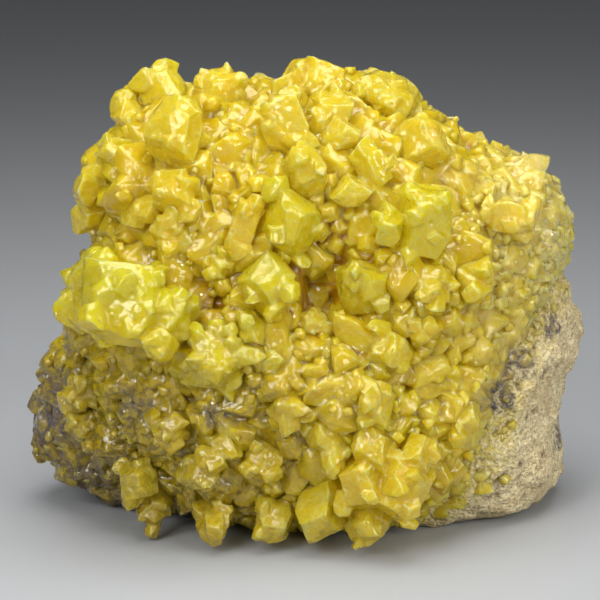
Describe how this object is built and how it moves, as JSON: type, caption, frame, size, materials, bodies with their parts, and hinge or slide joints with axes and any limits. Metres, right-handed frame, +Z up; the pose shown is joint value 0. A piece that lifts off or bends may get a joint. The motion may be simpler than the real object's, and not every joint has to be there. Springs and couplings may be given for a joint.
{
  "type": "native sulfur crystal specimen",
  "caption": "Hand specimen of native sulfur: blocky translucent yellow crystals on a crystal crust over tan, porous rock, resting on the rock's flat underside.",
  "frame": {"origin": "middle of the specimen's bounding box at its lowest level, on the surface it rests on", "axes": "+Z up; the crystal-covered show face looks along -Y; +X to the viewer's right, along the specimen's longest side"},
  "size_m": [0.0896, 0.0634, 0.0736],
  "materials": {
    "matrix_rock": "matt, rough and porous tan rock with grey patches and yellow stains",
    "sulfur_crust": "sugary to blocky crust of small translucent yellow sulfur crystals, amber in the hollows",
    "frosted_sulfur": "translucent yellow sulfur with a resinous lustre and frosted pale faces",
    "clear_sulfur": "clear lemon-yellow sulfur, glossy, with veils inside"
  },
  "bodies": {
    "root": {"brow_cluster_left": "frosted_sulfur", "brow_cluster_right": "clear_sulfur", "brow_cluster_top": "frosted_sulfur", "brow_crystal_1": "frosted_sulfur", "brow_crystal_2": "frosted_sulfur", "brow_crystal_3": "frosted_sulfur", "brow_crystal_4": "frosted_sulfur", "brow_crystal_5": "frosted_sulfur", "brow_crystal_6": "clear_sulfur", "brow_crystal_7": "frosted_sulfur", "crown_cluster": "frosted_sulfur", "crown_crystal_1": "frosted_sulfur", "crown_crystal_2": "frosted_sulfur", "crown_crystal_3": "frosted_sulfur", "crown_crystal_4": "frosted_sulfur", "crown_crystal_5": "frosted_sulfur", "cube_crystal": "clear_sulfur", "flank_cluster": "frosted_sulfur", "flank_crystal": "frosted_sulfur", "foot_cluster": "frosted_sulfur", "foot_cluster_left": "frosted_sulfur", "foot_crystal_1": "frosted_sulfur", "foot_crystal_2": "frosted_sulfur", "foot_crystal_3": "frosted_sulfur", "foot_crystal_4": "frosted_sulfur", "foot_crystal_5": "frosted_sulfur", "foot_crystal_6": "frosted_sulfur", "glassy_crystal": "clear_sulfur", "hollow_crystal_1": "clear_sulfur", "hollow_crystal_2": "frosted_sulfur", "hollow_crystal_3": "clear_sulfur", "hollow_crystal_4": "frosted_sulfur", "hollow_crystal_5": "frosted_sulfur", "hollow_crystal_6": "frosted_sulfur", "leafy_cluster": "clear_sulfur", "lemon_cluster": "clear_sulfur", "matrix_crystal_1": "frosted_sulfur", "matrix_crystal_2": "frosted_sulfur", "matrix_rock": "matrix_rock", "shoulder_crystal_1": "frosted_sulfur", "shoulder_crystal_2": "frosted_sulfur", "shoulder_crystal_3": "frosted_sulfur", "slope_cluster": "frosted_sulfur", "slope_crystal_1": "frosted_sulfur", "slope_crystal_2": "frosted_sulfur", "slope_crystal_3": "frosted_sulfur", "slope_crystal_4": "frosted_sulfur", "spark_crystal": "frosted_sulfur", "striped_cluster": "frosted_sulfur", "sulfur_crust": "sulfur_crust", "tilted_cluster": "frosted_sulfur"}
  },
  "joints": []
}
